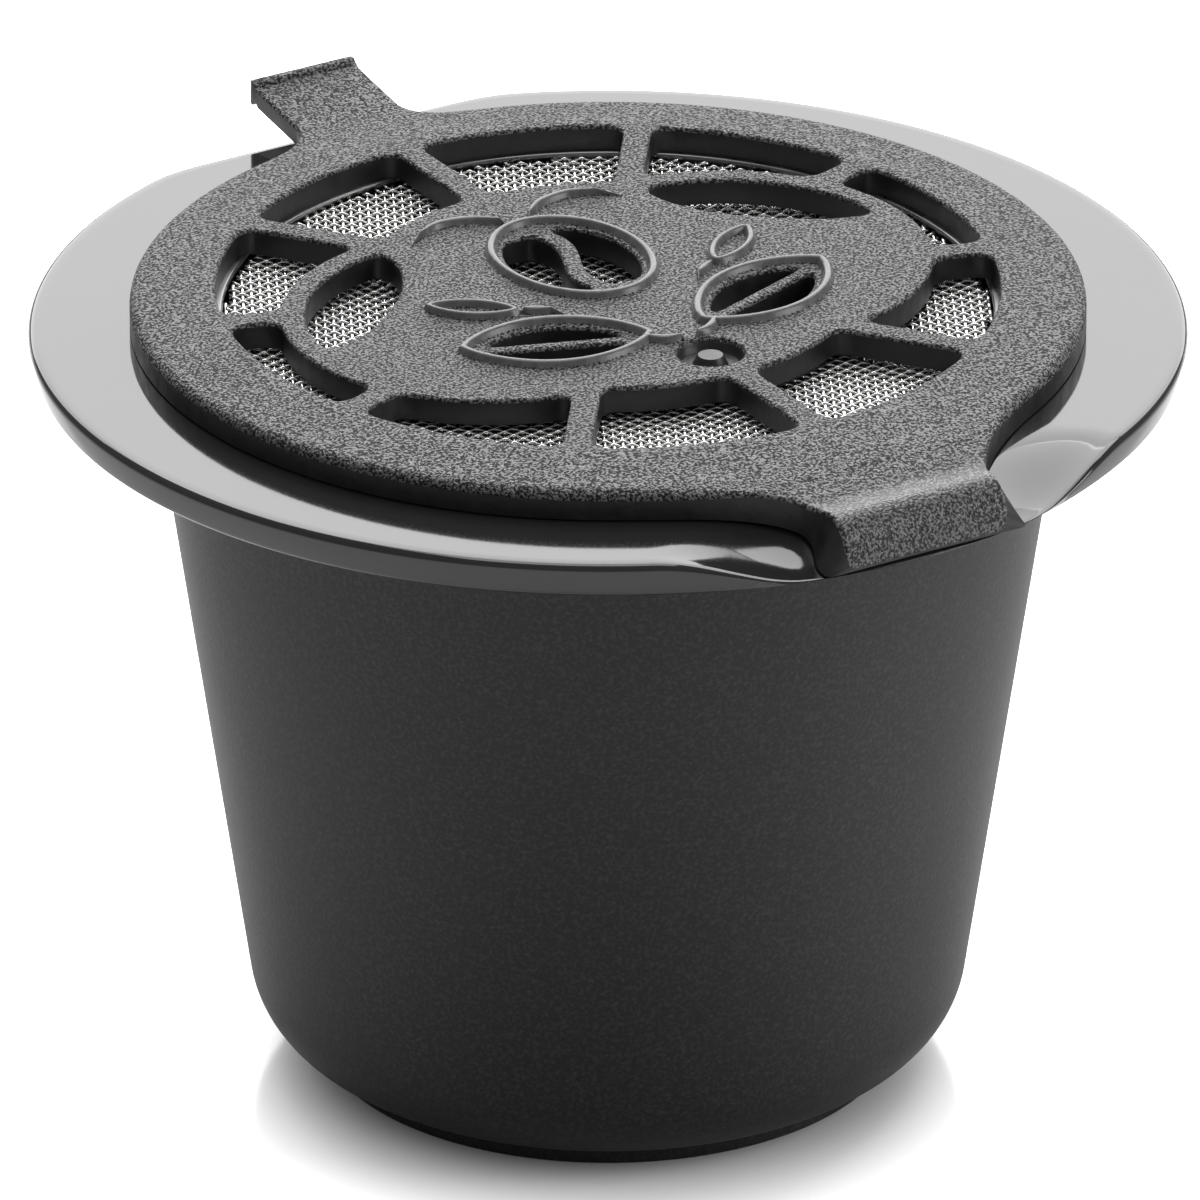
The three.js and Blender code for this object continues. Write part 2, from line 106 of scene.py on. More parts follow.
# Crescents, bean and leaves
CRESCENT_RADIUS = 5.9
CRESCENT_EDGE = [(5.49, 0.3), (4.02, 0.85), (2.56, 1.98), (1.59, 2.92), (0.8, 4.22), (0.51, 5.32)]
BEAN_CENTRE = (0.0, 2.2)
BEAN_HALF_WIDTH = 2.0
BEAN_HALF_LENGTH = 2.75
BEAN_SPLIT = 0.33
BEAN_SWING = 0.4
BEAN_END = 0.84
LEAF_CENTRE = (3.85, -3.15)
LEAF_ANGLE = 20 * DEGREE
LEAF_HALF_LENGTH = 2.45
LEAF_HALF_WIDTH = 1.3
LEAF_RIB = 0.22
LEAF_REACH = 0.86
SMALL_LEAF_CENTRE = (4.85, 0.35)
SMALL_LEAF_ANGLE = 38 * DEGREE
SMALL_LEAF_HALF_LENGTH = 1.4
SMALL_LEAF_HALF_WIDTH = 0.5
RELIEF_HEIGHT = 0.23
RELIEF_HALF_WIDTH = 0.19
RELIEF_OFFSET = 0.38
STEMS = [
    [(1.35, -4.3), (0.85, -4.75), (0.3, -4.95)],
    [(0.55, 5.75), (1.3, 6.35), (2.4, 6.55), (3.3, 6.15)],
    [(2.75, -1.05), (3.15, -0.75), (3.5, -0.6)],
]
DIMPLE_Y = -6.2
DIMPLE_RADIUS = 1.08
DIMPLE_DEPTH = 0.42
NUB_RADIUS = 0.5
NUB_DROP = 0.1
DIMPLE_ROWS = (0.2, 0.4, 0.46, 0.52, 0.58, 0.93, 0.99, 1.05, 1.1, 1.15)

# Hinge strip and thumb tab
STRIP_HALF = 3.0
STRIP_FOOT_HALF = 3.7
STRIP_FOOT_SPREAD = (16.2, 17.9)
STRIP_SHIFT = 0.45
STRIP_SHIFT_REACH = (13.2, 16.4)
STRIP_END = -18.38
STRIP_FOLD = [
    (15.3, 26.44), (16.0, 26.3), (16.6, 26.12), (17.1, 26.12),
    (17.5, 26.1), (17.85, 25.92), (18.12, 25.6), (18.3, 25.1), (18.38, 24.62),
]
STRIP_BOTTOM = 24.5
STRIP_FOOT_START = 15.4
STRIP_FOOT_END = 18.6
STRIP_FLARE_HALF = 8.0
TAB_HALF = 1.92
TAB_FLARE_HALF = 4.3
TAB_END = 18.85
TAB_BEAD = 0.5
TAB_BEAD_HEIGHT = 0.85
TAB_BEAD_Z = 26.68
TAB_ROOT = 15.0
TAB_TOP_Y = (TAB_ROOT, 15.8, 16.3, 16.8, TAB_END)
TAB_TOP_RISE = (0, 0.02, 0.07, 0.15, 0.46)
TAB_BOTTOM_Y = (TAB_ROOT, 15.6, 16.3, 16.8, TAB_END)
TAB_BOTTOM_RISE = (0.1, 0.33, 0.4, 0.48, 0.79)

# Steel
RING_INNER = 12.3
RING_OUTER = 12.9
RING_BOTTOM = 25.6
RING_ROUND = 0.09
WIRE_PITCH = 0.283
WIRE_RADIUS = 0.065
WIRE_STEPS = 2
WIRE_SIDES = 4
WIRE_FULLNESS = 1.06
MESH_RADIUS = 12.25
MESH_Z = 25.68
MESH_DISH = 0.28
MESH_TURN = -28.8 * DEGREE
BASE_MESH_RADIUS = 8.3
BASE_MESH_Z = 1.605
BASE_PITCH = 0.42
BASE_WIRE_RADIUS = 0.06
BASE_RING_INNER = 7.4
BASE_RING_BOTTOM = 1.73
BASE_RING_TOP = 2.01

# Material slots of the lid
GRAIN_SLOT = 0
LINE_SLOT = 1
# The slot of smooth plastic darkened with painted shade, for the walls, underside and dimple
SMOOTH_SHADE_SLOT = 2
LINE_SEEN_HEIGHT = 0.035

# Grain of the lid, with less relief from the fold outward
GRAIN_LOW = 0.44
GRAIN_HIGH = 0.58
GRAIN_FOLD_OUTER = -17.2
GRAIN_FOLD_INNER = -15.5
GRAIN_FOLD_SHARE = 0.45

# Floor
FLOOR_HALF = 1500.0
# Radii over which the floor's glow fades in: inside them the floor is darkened, painted shade round the
# capsule's foot.
FLOOR_PAINTED_SHADE_START = 8.5
FLOOR_PAINTED_SHADE_END = 16.5


# Plane outlines

def arc(centre, radius, start, end, steps):
    angles = np.linspace(start, end, steps + 1)
    return [(centre[0] + radius * math.cos(a), centre[1] + radius * math.sin(a)) for a in angles]


def smooth_curve(points, steps):
    """A smooth open curve through the points."""
    p = np.array([points[0], *points, points[-1]], float)
    result = []
    spans = len(points) - 1
    for i in range(steps + 1):
        t = spans * i / steps
        k = min(int(t), spans - 1)
        u = t - k
        a, b, c, d = p[k], p[k + 1], p[k + 2], p[k + 3]
        q = 0.5 * (2 * b + (c - a) * u + (2 * a - 5 * b + 4 * c - d) * u**2 + (3 * b - a - 3 * c + d) * u**3)
        result.append(tuple(q))
    return result


def rounded_corners(outline, corners, cut):
    result = []
    count = len(outline)
    for i, point in enumerate(outline):
        if i not in corners:
            result.append(point)
            continue
        corner = np.array(point, float)
        ends = []
        for other in (outline[i - 1], outline[(i + 1) % count]):
            way = np.array(other, float) - corner
            length = np.linalg.norm(way)
            ends.append(corner + way / length * min(cut, 0.9 * length))
        for t in np.linspace(0, 1, 9):
            q = (1 - t) ** 2 * ends[0] + 2 * t * (1 - t) * corner + t**2 * ends[1]
            result.append(tuple(q))
    return result


def resampled(outline, step):
    """A closed outline, anticlockwise, with evenly spaced points."""
    p = np.array(outline, float)
    area = 0.5 * np.sum(p[:, 0] * np.roll(p[:, 1], -1) - np.roll(p[:, 0], -1) * p[:, 1])
    if area < 0:
        p = p[::-1]
    closed = np.vstack([p, p[:1]])
    lengths = np.hypot(*np.diff(closed, axis=0).T)
    travel = np.concatenate([[0], np.cumsum(lengths)])
    count = max(int(travel[-1] / step), 12)
    at = np.linspace(0, travel[-1], count, endpoint=False)
    return np.column_stack([np.interp(at, travel, closed[:, k]) for k in (0, 1)])


def placed(outline, centre, angle):
    c, s = math.cos(angle), math.sin(angle)
    return [(centre[0] + u * c - v * s, centre[1] + u * s + v * c) for u, v in outline]


def mirrored(outline):
    return [(-x, y) for x, y in outline]


def panel_reach(angle):
    """How far the solid middle panel reaches along a ray from the centre."""
    along = PANEL_OFFSET * abs(math.cos(angle))
    return max(WINDOW_INNER, along + math.sqrt(PANEL_RADIUS**2 - PANEL_OFFSET**2 + along**2))


def window_outline(middle):
    half = math.pi / WINDOW_COUNT

    def side_at(radius):
        return half - math.asin(SPOKE_WIDTH / 2 / radius)

    outer_half = side_at(WINDOW_OUTER)
    outer = arc((0, 0), WINDOW_OUTER, middle - outer_half, middle + outer_half, 8)
    steps = 8
    inner = []
    for i in range(steps + 1):
        share = 1 - 2 * i / steps
        angle = middle + share * side_at(panel_reach(middle + share * half))
        radius = panel_reach(angle)
        inner.append((radius * math.cos(angle), radius * math.sin(angle)))
    first = len(outer)
    return rounded_corners(outer + inner, {0, first - 1, first, first + steps}, WINDOW_CORNER)


def crescent_outline():
    centre = (PANEL_OFFSET, 0)
    outer = arc(centre, CRESCENT_RADIUS, 83 * DEGREE, 4 * DEGREE, 20)
    inner = smooth_curve([(centre[0] + x, y) for x, y in CRESCENT_EDGE], 24)
    return rounded_corners(outer + inner, {0, len(outer) - 1}, 0.3)


def bean_half():
    steps = 16
    split, shell = [], []
    for i in range(steps + 1):
        share = BEAN_END * (2 * i / steps - 1)
        y = BEAN_CENTRE[1] + BEAN_HALF_LENGTH * share
        split.append((BEAN_CENTRE[0] + BEAN_SWING * math.sin(math.pi * share) + BEAN_SPLIT, y))
        shell.insert(0, (BEAN_CENTRE[0] + BEAN_HALF_WIDTH * math.sqrt(1 - share**2), y))
    return rounded_corners(split + shell, {0, steps, steps + 1, 2 * steps + 1}, 0.3)


def leaf_edge(half_length, half_width, steps, reach=1.0):
    shares = [reach * (2 * i / steps - 1) for i in range(steps + 1)]
    return [(half_length * s, half_width * (1 - s * s) ** 0.8) for s in shares]


def leaf_half(side):
    edge = leaf_edge(LEAF_HALF_LENGTH, LEAF_HALF_WIDTH, 16, LEAF_REACH)
    end = LEAF_HALF_LENGTH * LEAF_REACH
    outline = edge + [(end, LEAF_RIB), (-end, LEAF_RIB)]
    outline = rounded_corners(outline, {0, 16, 17, 18}, 0.25)
    return [(u, side * v) for u, v in outline]


def leaf_line(half_length, half_width):
    top = leaf_edge(half_length, half_width, 24)
    return top + [(u, -v) for u, v in reversed(top[1:-1])]


def lid_openings():
    outlines = [window_outline(2 * math.pi * i / WINDOW_COUNT) for i in range(WINDOW_COUNT)]
    crescent = crescent_outline()
    bean = bean_half()
    outlines += [crescent, mirrored(crescent), bean]
    outlines.append([(2 * BEAN_CENTRE[0] - x, 2 * BEAN_CENTRE[1] - y) for x, y in bean])
    for side in (1, -1):
        half = placed(leaf_half(side), LEAF_CENTRE, LEAF_ANGLE)
        outlines += [half, mirrored(half)]
    return [resampled(outline, OUTLINE_STEP) for outline in outlines]


def flare(half, flare_half, start_radius):
    """From the lid's edge into the side of a tongue along +Y, tangent to both."""
    y0 = math.sqrt(start_radius**2 - flare_half**2)
    start = np.array([flare_half, y0])
    along = np.array([-y0, flare_half]) / start_radius
    reach = flare_half - half
    a = start + along * reach * 0.55
    end = np.array([half, start_radius + 0.42 * reach])
    b = end - np.array([0, 0.25 * reach + 0.1])
    points = []
    for t in np.linspace(0, 1, 24):
        q = (1 - t) ** 3 * start + 3 * t * (1 - t) ** 2 * a + 3 * t * t * (1 - t) * b + t**3 * end
        points.append(tuple(q))
    return points


def lid_outline():
    """Round lid with the tab toward +Y and the strip toward -Y, anticlockwise."""
    tab = flare(TAB_HALF, TAB_FLARE_HALF, LID_RADIUS)
    strip = [(x, -y) for x, y in flare(STRIP_HALF, STRIP_FLARE_HALF, LID_RADIUS)]
    low = math.atan2(strip[0][1], strip[0][0])
    high = math.atan2(tab[0][1], tab[0][0])
    strip_corner = rounded_corners(
        [strip[-1], (STRIP_HALF, STRIP_END), (0, STRIP_END)], {1}, 0.22)
    tab_corner = rounded_corners(
        [tab[-1], (TAB_HALF, TAB_END + TAB_BEAD), (0, TAB_END + TAB_BEAD)], {1}, 0.22)
    right = list(reversed(strip_corner))[:-1] + list(reversed(strip))
    right += arc((0, 0), LID_RADIUS, low, high, 120)[1:-1]
    right += tab + tab_corner[1:]
    return resampled(right + [(-x, y) for x, y in reversed(right)][1:-1], OUTLINE_STEP)


def distance_to(points, outlines):
    """Distance from each point to the nearest of the closed outlines."""
    total = sum(len(o) for o in outlines)
    tree = KDTree(total)
    ends = []
    for outline in outlines:
        nxt = np.roll(outline, -1, axis=0)
        prev = np.roll(outline, 1, axis=0)
        for a, b, c in zip(prev, outline, nxt):
            tree.insert((b[0], b[1], 0), len(ends))
            ends.append((a, b, c))
    tree.balance()
    nearest = np.array([tree.find((x, y, 0))[1] for x, y in points])
    ends = np.array(ends)[nearest]
    best = np.full(len(points), np.inf)
    for k in (0, 1):
        a, b = ends[:, k], ends[:, k + 1]
        ab = b - a
        t = np.clip(np.sum((points - a) * ab, 1) / np.maximum(np.sum(ab * ab, 1), 1e-12), 0, 1)
        best = np.minimum(best, np.hypot(*(points - a - ab * t[:, None]).T))
    return best


def normals_of(outline):
    tangent = np.roll(outline, -1, axis=0) - np.roll(outline, 1, axis=0)
    tangent /= np.linalg.norm(tangent, axis=1)[:, None]
    return np.column_stack([-tangent[:, 1], tangent[:, 0]])


def odd_inside(points, outlines):
    """True where a point is inside an odd number of the outlines."""
    inside = np.zeros(len(points), bool)
    x, y = points[:, 0], points[:, 1]
    for outline in outlines:
        for a, b in zip(outline, np.roll(outline, -1, axis=0)):
            if a[1] == b[1]:
                continue
            spans = (a[1] > y) != (b[1] > y)
            inside ^= spans & (x < a[0] + (y - a[1]) * (b[0] - a[0]) / (b[1] - a[1]))
    return inside


def filled(outlines, extra):
    """Triangles between the outlines, which come first in the returned points."""
    points = np.vstack([*outlines, extra])
    edges = []
    start = 0
    for outline in outlines:
        count = len(outline)
        edges += [(start + i, start + (i + 1) % count) for i in range(count)]
        start += count
    result = delaunay_2d_cdt([Vector(p) for p in points], edges, [], 0, 1e-7, True)
    verts = np.array([tuple(v) for v in result[0]])
    faces = np.array([f for f in result[2] if len(f) == 3])
    keep = odd_inside(verts[faces].mean(axis=1), outlines)
    place = {}
    for new, olds in enumerate(result[3]):
        for old in olds:
            place[old] = new
    return verts, faces[keep], [place[i] for i in range(start)]


# Raised lines of the lid

def relief_lines():
    """Centre lines as (points, half widths)."""
    lines = []

    def add(outline, closed, width=RELIEF_HALF_WIDTH):
        if closed:
            points = resampled(outline, 0.1)
            lines.append((points, np.full(len(points), width), True))
            return
        points = np.array(smooth_curve(outline, 40))
        share = np.linspace(0, 1, len(points))
        lines.append((points, width * (0.35 + 0.75 * np.sin(math.pi * share)), False))

    bean = [(BEAN_CENTRE[0] + (BEAN_HALF_WIDTH + RELIEF_OFFSET) * math.cos(a),
             BEAN_CENTRE[1] + (BEAN_HALF_LENGTH + RELIEF_OFFSET) * math.sin(a))
            for a in np.linspace(0, 2 * math.pi, 90, endpoint=False)]
    add(bean, True)
    leaf = leaf_line(LEAF_HALF_LENGTH + 1.5 * RELIEF_OFFSET, LEAF_HALF_WIDTH + RELIEF_OFFSET)
    small = leaf_line(SMALL_LEAF_HALF_LENGTH, SMALL_LEAF_HALF_WIDTH)
    for flip in (list, mirrored):
        add(flip(placed(leaf, LEAF_CENTRE, LEAF_ANGLE)), True)
        add(flip(placed(small, SMALL_LEAF_CENTRE, SMALL_LEAF_ANGLE)), True, 0.85 * RELIEF_HALF_WIDTH)
        for stem in STEMS:
            add(flip(stem), False)
    return lines


def relief_samples(lines):
    rows = []
    for points, widths, closed in lines:
        if closed:
            normal = normals_of(points)
        else:
            tangent = np.gradient(points, axis=0)
            tangent /= np.linalg.norm(tangent, axis=1)[:, None]
            normal = np.column_stack([-tangent[:, 1], tangent[:, 0]])
        for share in (-1.15, -0.9, -0.65, -0.4, -0.15, 0.15, 0.4, 0.65, 0.9, 1.15):
            rows.append(points + normal * (widths * share)[:, None])
    return np.vstack(rows)


def relief_height(points, lines):
    samples = []
    for line, widths, closed in lines:
        middle = (line + np.roll(line, -1, axis=0)) / 2
        if not closed:
            middle = middle[:-1]
        samples += [(p, w) for p, w in zip(line, widths)]
        samples += [(p, w) for p, w in zip(middle, widths)]
    tree = KDTree(len(samples))
    for i, (p, _) in enumerate(samples):
        tree.insert((p[0], p[1], 0), i)
    tree.balance()
    height = np.zeros(len(points))
    for i, (x, y) in enumerate(points):
        _, index, distance = tree.find((x, y, 0))
        share = distance / samples[index][1]
        if share < 1:
            height[i] = RELIEF_HEIGHT * (1 - share**2.6)
    return height


def eased(value, low, high):
    t = np.clip((value - low) / (high - low), 0, 1)
    return t * t * (3 - 2 * t)


def dimple_height(points):
    r = np.hypot(points[:, 0], points[:, 1] - DIMPLE_Y)
    well = -DIMPLE_DEPTH * (1 - eased(r, DIMPLE_RADIUS - 0.14, DIMPLE_RADIUS + 0.06))
    nub = (DIMPLE_DEPTH - NUB_DROP) * (1 - eased(r, NUB_RADIUS - 0.1, NUB_RADIUS + 0.08))
    return well + nub


def bead_half_height(y):
    radius = TAB_BEAD / 2
    inside = np.clip(radius**2 - (y - TAB_END - radius) ** 2, 0, None)
    return TAB_BEAD_HEIGHT / 2 - radius + np.sqrt(inside)


def top_base(points):
    x, y = points[:, 0], points[:, 1]
    r = np.hypot(x, y)
    z = LID_TOP - (LID_TOP - LID_EDGE_TOP) * np.clip((r - CROWN_RADIUS) / (LID_RADIUS - CROWN_RADIUS), 0, 1)
    fold = np.array(smooth_curve(STRIP_FOLD, 64))
    z = np.where(-y > STRIP_FOLD[0][0], np.minimum(z, np.interp(-y, fold[:, 0], fold[:, 1])), z)
    rise = np.interp(y, TAB_TOP_Y, TAB_TOP_RISE)
    z = np.where(y > TAB_ROOT, z + rise, z)
    return np.where(y > TAB_END, TAB_BEAD_Z + bead_half_height(y), z)


def bottom_base(points):
    x, y = points[:, 0], points[:, 1]
    r = np.hypot(x, y)
    z = np.full(len(points), SEAT_Z)
    z = np.where(r < PLUG_OUTER, SKIRT_BOTTOM, z)
    z = np.where(r < PLUG_INNER, PLATE_BOTTOM, z)
    sink = (SEAT_Z - STRIP_BOTTOM) * eased(r, STRIP_FOOT_START, STRIP_FOOT_END)
    z = np.where(y < 0, z - sink, z)
    rise = np.interp(y, TAB_BOTTOM_Y, TAB_BOTTOM_RISE)
    z = np.where((y > TAB_ROOT) & (r > LID_RADIUS - 0.3), SEAT_Z + rise, z)
    return np.where(y > TAB_END, TAB_BEAD_Z - bead_half_height(y), z)


def edge_points(outline, inward, radius_at):
    """Rows of points beside an outline, where its edge is rounded."""
    side = normals_of(outline) * inward
    radius = radius_at(outline)
    return [outline + side * (radius * share)[:, None] for share in EDGE_STEPS]


def outer_edge_round(points):
    r = np.hypot(points[:, 0], points[:, 1])
    return LID_EDGE_ROUND + (THIN_EDGE_ROUND - LID_EDGE_ROUND) * eased(r, LID_RADIUS + 0.02, LID_RADIUS + 1.0)


def circles(radii, centre, step):
    rows = []
    for radius in radii:
        count = max(int(2 * math.pi * radius / step), 12)
        rows.append(np.array(arc(centre, radius, 0, 2 * math.pi, count))[:-1])
    return np.vstack(rows)


def grid(half_x, low_y, high_y, step_x, step_y):
    xs = np.arange(-half_x, half_x + step_x / 2, step_x)
    ys = np.arange(low_y, high_y + step_y / 2, step_y)
    gx, gy = np.meshgrid(xs, ys)
    return np.column_stack([gx.ravel(), gy.ravel()])


def kept_clear(points, outlines, margin):
    """The points on material and not too near an outline."""
    inside = odd_inside(points, outlines)
    points = points[inside]
    return points[distance_to(points, outlines) > margin]


def lid_surfaces():
    outer = lid_outline()
    openings = lid_openings()
    outlines = [outer, *openings]
    rows = edge_points(outer, 1, outer_edge_round)
    for opening in openings:
        rows += edge_points(opening, -1, lambda p: np.full(len(p), OPENING_ROUND))
    near = np.vstack(rows)
    near = near[odd_inside(near, outlines)]
    near = near[distance_to(near, outlines) > 0.004]
    lines = relief_lines()
    free = np.vstack([
        relief_samples(lines),
        circles(DIMPLE_ROWS, (0, DIMPLE_Y), 0.12),
        circles((CROWN_RADIUS - 0.1, CROWN_RADIUS, CROWN_RADIUS + 0.1, 13.2, 13.8, 14.4, 14.8), (0, 0), 0.5),
        grid(8.0, -8.0, 8.0, 0.8, 0.8),
        grid(2.8, STRIP_END + 0.03, STRIP_END + 0.3, 0.35, 0.035),
        grid(3.5, STRIP_END + 0.3, -15.2, 0.35, 0.09),
        grid(1.7, 14.8, TAB_END - 0.1, 0.35, 0.15),
        grid(1.75, TAB_END - 0.03, TAB_END + TAB_BEAD - 0.01, 0.35, 0.035),
    ])
    free = kept_clear(free, outlines, OPENING_ROUND + 0.02)
    top = filled(outlines, np.vstack([near, free]))
    below = np.vstack([
        circles((PLUG_INNER - 0.01, PLUG_INNER + 0.01, PLUG_OUTER - 0.01, PLUG_OUTER + 0.01), (0, 0), 0.35),
        grid(12.0, -12.0, 12.0, 1.0, 1.0),
        grid(4.4, STRIP_END + 0.3, -15.0, 0.4, 0.2),
        grid(1.7, 15.3, TAB_END - 0.1, 0.4, 0.25),
        grid(1.75, TAB_END - 0.03, TAB_END + TAB_BEAD - 0.01, 0.35, 0.035),
    ])
    bottom = filled(outlines, kept_clear(below, outlines, 0.03))
    return outlines, lines, top, bottom


def mesh_object(name, verts, faces, sharp_angle=38):
    mesh = bpy.data.meshes.new(name)
    verts = np.asarray(verts, float) * MM
    mesh.from_pydata(verts.tolist(), [], [list(map(int, f)) for f in faces])
    mesh.validate()
    mesh.update()
    mesh.shade_smooth()
    mesh.set_sharp_from_angle(angle=sharp_angle * DEGREE)
    obj = bpy.data.objects.new(name, mesh)
    bpy.context.scene.collection.objects.link(obj)
    return obj


def edge_drop(distance, radius):
    inside = np.clip(radius - distance, 0, None)
    return radius - np.sqrt(np.clip(radius**2 - inside**2, 0, None))


def lid_walls(outlines, top_rim, lower_rim, offset):
    """Quads between the top and the bottom, round the lid and in every opening."""
    walls = []
    start = 0
    for number, outline in enumerate(outlines):
        count = len(outline)
        for i in range(count):
            a, b = start + i, start + (i + 1) % count
            quad = [offset + lower_rim[a], offset + lower_rim[b], top_rim[b], top_rim[a]]
            walls.append(quad if number == 0 else quad[::-1])
        start += count
    return walls


def lid_slots(verts, faces, relief, others):
    """The material slot of each face, with the top's faces first."""
    middles = verts[faces].mean(axis=1)
    raised = relief[faces].mean(axis=1) > LINE_SEEN_HEIGHT
    # The dimple takes the darker wall plastic: painted shade in its hollow.
    dimple = np.hypot(middles[:, 0], middles[:, 1] - DIMPLE_Y) < DIMPLE_RADIUS
    top = np.where(dimple, SMOOTH_SHADE_SLOT, np.where(raised, LINE_SLOT, GRAIN_SLOT))
    return np.concatenate([top, np.full(others, SMOOTH_SHADE_SLOT)]).astype(int)


def make_lid(materials):
    outlines, lines, top, bottom = lid_surfaces()
    verts, faces, top_rim = top
    relief = relief_height(verts, lines)
    to_outer = distance_to(verts, outlines[:1])
    to_openings = distance_to(verts, outlines[1:])
    z = top_base(verts) + relief + dimple_height(verts)
    bead = (verts[:, 1] > TAB_END - 0.05) | (verts[:, 1] < STRIP_END + 0.05)
    radius = np.where(bead, 0.03, outer_edge_round(verts))
    z -= edge_drop(to_outer, radius)
    z -= edge_drop(to_openings, np.full(len(verts), OPENING_ROUND))
    upper = np.column_stack([verts, z])
    lower_flat, lower_faces, lower_rim = bottom
    lower = np.column_stack([lower_flat, bottom_base(lower_flat)])
    lower[:, 0] *= 1 + (STRIP_FOOT_HALF / STRIP_HALF - 1) * eased(-lower[:, 1], *STRIP_FOOT_SPREAD)
    for surface in (upper, lower):
        surface[:, 0] += STRIP_SHIFT * eased(-surface[:, 1], *STRIP_SHIFT_REACH)
    offset = len(upper)
    walls = lid_walls(outlines, top_rim, lower_rim, offset)
    all_faces = faces.tolist() + (lower_faces[:, ::-1] + offset).tolist() + walls
    lid = mesh_object("lid_shell", np.vstack([upper, lower]), all_faces)
    for material in materials:
        lid.data.materials.append(material)
    slots = lid_slots(verts, faces, relief, len(lower_faces) + len(walls))
    if len(slots) == len(lid.data.polygons):
        lid.data.polygons.foreach_set("material_index", slots)
    return lid


# Cup

def outer_at(z):
    """Outside radius of the tapered wall at a height."""
    return BODY_TOP_RADIUS - math.tan(BODY_TAPER) * (RIM_BOTTOM - z)


def cup_outside(centre):
    """From the middle of the foot to the underside of the rim."""
    foot_radius = centre[0] + FOOT_STEP
    foot_angle = -math.acos(FOOT_STEP / CORNER_RADIUS)
    fillet = UNDER_RIM_FILLET
    fillet_centre = (outer_at(RIM_BOTTOM) + fillet, RIM_BOTTOM - fillet)
    flat_end = foot_radius - FOOT_ROUND
    profile = [(0.001, 0), (0.5 * foot_radius, 0), (flat_end, 0)]
    profile += arc((flat_end, FOOT_ROUND), FOOT_ROUND, -70 * DEGREE, 0, 3)
    profile += arc(centre, CORNER_RADIUS, foot_angle, -BODY_TAPER, 20)
    for z in np.linspace(WALL_LOW_ROW, RIM_BOTTOM - 2 * fillet, 14):
        profile.append((outer_at(z), z))
    return profile + arc(fillet_centre, fillet, 190 * DEGREE, 90 * DEGREE, 6)


def cup_rim():
    """From the underside of the rim round its edge and in to the bore."""
    edge = RIM_RADIUS - RIM_ROUND
    profile = []
    for r in np.linspace(BODY_TOP_RADIUS + 3 * UNDER_RIM_FILLET, edge - 0.4, 5):
        profile.append((r, RIM_BOTTOM))
    profile += arc((edge - RIM_DRAFT, RIM_BOTTOM + RIM_ROUND), RIM_ROUND, -90 * DEGREE, 0, 6)
    profile += arc((edge, CAPSULE_HEIGHT - RIM_ROUND), RIM_ROUND, 0, 90 * DEGREE, 6)
    for r in RIM_TOP_ROWS:
        profile.append((r, CAPSULE_HEIGHT))
    bore_edge = BORE_RADIUS + BORE_ROUND
    profile.append((bore_edge, CAPSULE_HEIGHT))
    return profile + arc((bore_edge, CAPSULE_HEIGHT - BORE_ROUND), BORE_ROUND, 100 * DEGREE, 180 * DEGREE, 3)


def cup_inside(centre):
    """From the foot of the straight bore down to the middle of the floor."""
    inner = WALL / math.cos(BODY_TAPER)
    slope = math.tan(BODY_TAPER)
    foot_of_bore = RIM_BOTTOM - (outer_at(RIM_BOTTOM) - inner - BORE_RADIUS) / slope
    profile = []
    for z in np.linspace(foot_of_bore, WALL_LOW_ROW, 8):
        profile.append((outer_at(z) - inner, z))
    profile += arc(centre, CORNER_RADIUS - WALL, -BODY_TAPER, -90 * DEGREE, 10)
    floor_z = CORNER_LIFT + WALL
    return profile + [(0.5 * centre[0], floor_z), (0.001, floor_z)]


def cup_profile():
    """Radius and height from the foot's middle, up outside and down inside."""
    centre_z = CORNER_LIFT + CORNER_RADIUS
    centre = (outer_at(centre_z) - CORNER_RADIUS / math.cos(BODY_TAPER), centre_z)
    return np.array(cup_outside(centre) + cup_rim() + cup_inside(centre))


def soft_min(a, b, width):
    h = np.clip(0.5 + 0.5 * (b - a) / width, 0, 1)
    return b + (a - b) * h - width * h * (1 - h)


def turned(profile, columns, closed):
    """Vertices in rows of columns, and the quads between the rows."""
    angles = np.linspace(0, 2 * math.pi, columns, endpoint=False)
    rows = len(profile)
    r = np.repeat(profile[:, 0], columns)
    z = np.repeat(profile[:, 1], columns)
    phi = np.tile(angles, rows)
    faces = []
    for i in range(rows if closed else rows - 1):
        j = (i + 1) % rows
        for k in range(columns):
            m = (k + 1) % columns
            faces.append((i * columns + k, i * columns + m, j * columns + m, j * columns + k))
    return r, phi, z, faces


def recess_share(x, y, z, r):
    """The share of the rim's thickness that the hinge recess takes at each point."""
    spread = eased(r, RECESS_WIDENS_FROM, RECESS_FULL)
    top_half = RECESS_INNER_HALF + (RECESS_OUTER_HALF - RECESS_INNER_HALF) * spread
    depth = 1 - eased(np.abs(x - STRIP_SHIFT), RECESS_BOTTOM_HALF, top_half)
    depth = depth * eased(r, RECESS_START, RECESS_FULL)
    in_recess = (y < 0) & (z > RIM_BOTTOM + 0.001)
    return np.where(in_recess, depth * RECESS_DEPTH / RIM_THICKNESS, 0)


